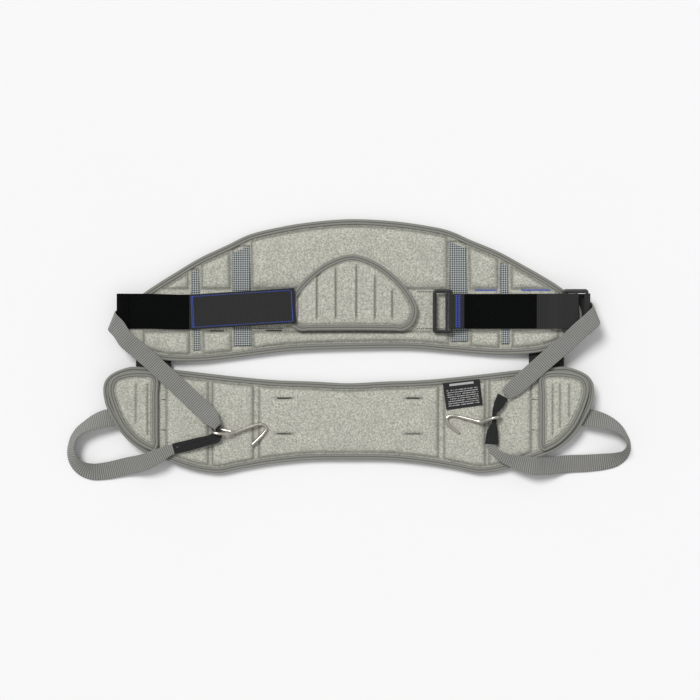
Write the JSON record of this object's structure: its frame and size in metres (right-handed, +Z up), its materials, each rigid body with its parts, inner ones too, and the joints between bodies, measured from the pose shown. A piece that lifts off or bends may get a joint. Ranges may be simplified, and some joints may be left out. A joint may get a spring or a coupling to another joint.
{
  "type": "padded support harness belt",
  "caption": "Two-pad support belt laid flat: curved upper and lower foam pads, buckled waist webbing, lumbar and hip pads, drop straps with wire hooks and side loops.",
  "frame": {"origin": "middle of the laid-out belt's bounding box, on the surface that it lies on", "axes": "+X to the wearer-side right tip of the pads, +Y to the upper pad's top edge, +Z up from the surface, out of the lined faces"},
  "size_m": [0.8217, 0.3799, 0.0428],
  "materials": {
    "lining": "brushed velour",
    "foam": "moulded foam",
    "shell": "woven nylon",
    "edge_tape": "folded grosgrain",
    "vent_mesh": "spacer mesh",
    "black_webbing": "ribbed nylon",
    "grey_webbing": "plain nylon",
    "fastening": "hook and pile",
    "sleeve": "woven tube",
    "label": "printed satin",
    "buckle_plastic": "moulded",
    "hook_wire": "drawn wire"
  },
  "bodies": {
    "upper_pad": {"kidney_outer_shell": "shell", "kidney_foam_core": "foam", "kidney_lining": "lining", "kidney_edge_binding": "edge_tape", "left_inner_vent_mesh": "vent_mesh", "right_inner_vent_mesh": "vent_mesh", "left_outer_vent_mesh": "vent_mesh", "right_outer_vent_mesh": "vent_mesh", "waist_belt_back": "black_webbing", "back_webbing_kidney": "grey_webbing", "belt_keeper_1": "black_webbing", "belt_keeper_2": "black_webbing", "belt_keeper_3": "black_webbing", "belt_keeper_4": "black_webbing", "belt_keeper_5": "black_webbing", "left_link_strap": "black_webbing", "right_link_strap": "black_webbing", "left_belt_fold": "black_webbing", "right_belt_fold": "black_webbing", "left_strap_turn": "grey_webbing", "right_strap_turn": "grey_webbing", "left_drop_strap": "grey_webbing", "right_drop_strap": "grey_webbing"},
    "lower_pad": {"seat_outer_shell": "shell", "seat_foam_core": "foam", "seat_lining": "lining", "seat_edge_binding": "edge_tape", "back_webbing_seat": "grey_webbing", "strap_keeper_1": "black_webbing", "strap_keeper_2": "black_webbing", "strap_keeper_3": "black_webbing", "strap_keeper_4": "black_webbing", "left_loop_strap": "grey_webbing", "right_loop_strap": "grey_webbing", "left_hook_sleeve": "sleeve", "right_hook_sleeve": "sleeve"},
    "lumbar": {"lumbar_pad": "lining", "lumbar_binding": "edge_tape", "lumbar_hook_patch": "fastening"},
    "left_hip": {"left_hip_pad": "lining", "left_hip_binding": "edge_tape", "left_hip_hook_patch": "fastening"},
    "right_hip": {"right_hip_pad": "lining", "right_hip_binding": "edge_tape", "right_hip_hook_patch": "fastening"},
    "left_belt_end": {"left_belt_tail": "black_webbing", "left_belt_pile_patch": "fastening", "left_belt_hook_patch": "fastening"},
    "right_belt_end": {"right_belt_tail": "black_webbing", "right_belt_pile_patch": "fastening", "tip_slider_buckle": "buckle_plastic"},
    "end_loop": {"end_loop_buckle": "buckle_plastic"},
    "left_hook_body": {"left_hook": "hook_wire"},
    "right_hook_body": {"right_hook": "hook_wire"},
    "label_flap": {"care_label": "label"}
  },
  "joints": [
    {"name": "pad_fold", "type": "hinge", "parent": "upper_pad", "child": "lower_pad", "pos_m": [0, -0.0186, 0.021], "axis": [1, 0, 0], "range_deg": [-100, 30], "deforming": ["left_link_strap", "right_link_strap", "left_drop_strap", "right_drop_strap"]},
    {"name": "lumbar_shift", "type": "slide", "parent": "upper_pad", "child": "lumbar", "axis": [0, 1, 0], "range_m": [-0.005, 0.02]},
    {"name": "left_hip_shift", "type": "slide", "parent": "lower_pad", "child": "left_hip", "axis": [0, 1, 0], "range_m": [0, 0.01]},
    {"name": "right_hip_shift", "type": "slide", "parent": "lower_pad", "child": "right_hip", "axis": [0, 1, 0], "range_m": [0, 0.01]},
    {"name": "left_belt_unfold", "type": "hinge", "parent": "upper_pad", "child": "left_belt_end", "pos_m": [-0.3319, 0.056, 0.0213], "axis": [0, -1, 0], "range_deg": [0, 170], "deforming": ["left_belt_fold", "left_strap_turn"]},
    {"name": "right_belt_unfold", "type": "hinge", "parent": "upper_pad", "child": "right_belt_end", "pos_m": [0.341, 0.056, 0.0329], "axis": [0, 1, 0], "range_deg": [0, 150], "deforming": ["right_belt_fold", "right_strap_turn"]},
    {"name": "end_buckle_tilt", "type": "hinge", "parent": "right_belt_end", "child": "end_loop", "pos_m": [0.1465, 0.056, 0.02075], "axis": [0, 1, 0], "range_deg": [0, 100]},
    {"name": "left_hook_swing", "type": "hinge", "parent": "lower_pad", "child": "left_hook_body", "pos_m": [-0.19, -0.1176, 0.025], "axis": [-0.059, -0.906, -0.4191], "range_deg": [0, 120]},
    {"name": "right_hook_swing", "type": "hinge", "parent": "lower_pad", "child": "right_hook_body", "pos_m": [0.2082, -0.0974, 0.0265], "axis": [-0.2698, 0.9629, 0], "range_deg": [0, 120]},
    {"name": "label_flip", "type": "hinge", "parent": "lower_pad", "child": "label_flap", "pos_m": [0.161, -0.04495, 0.01505], "axis": [-0.9935, -0.1139, 0], "range_deg": [0, 120]}
  ]
}
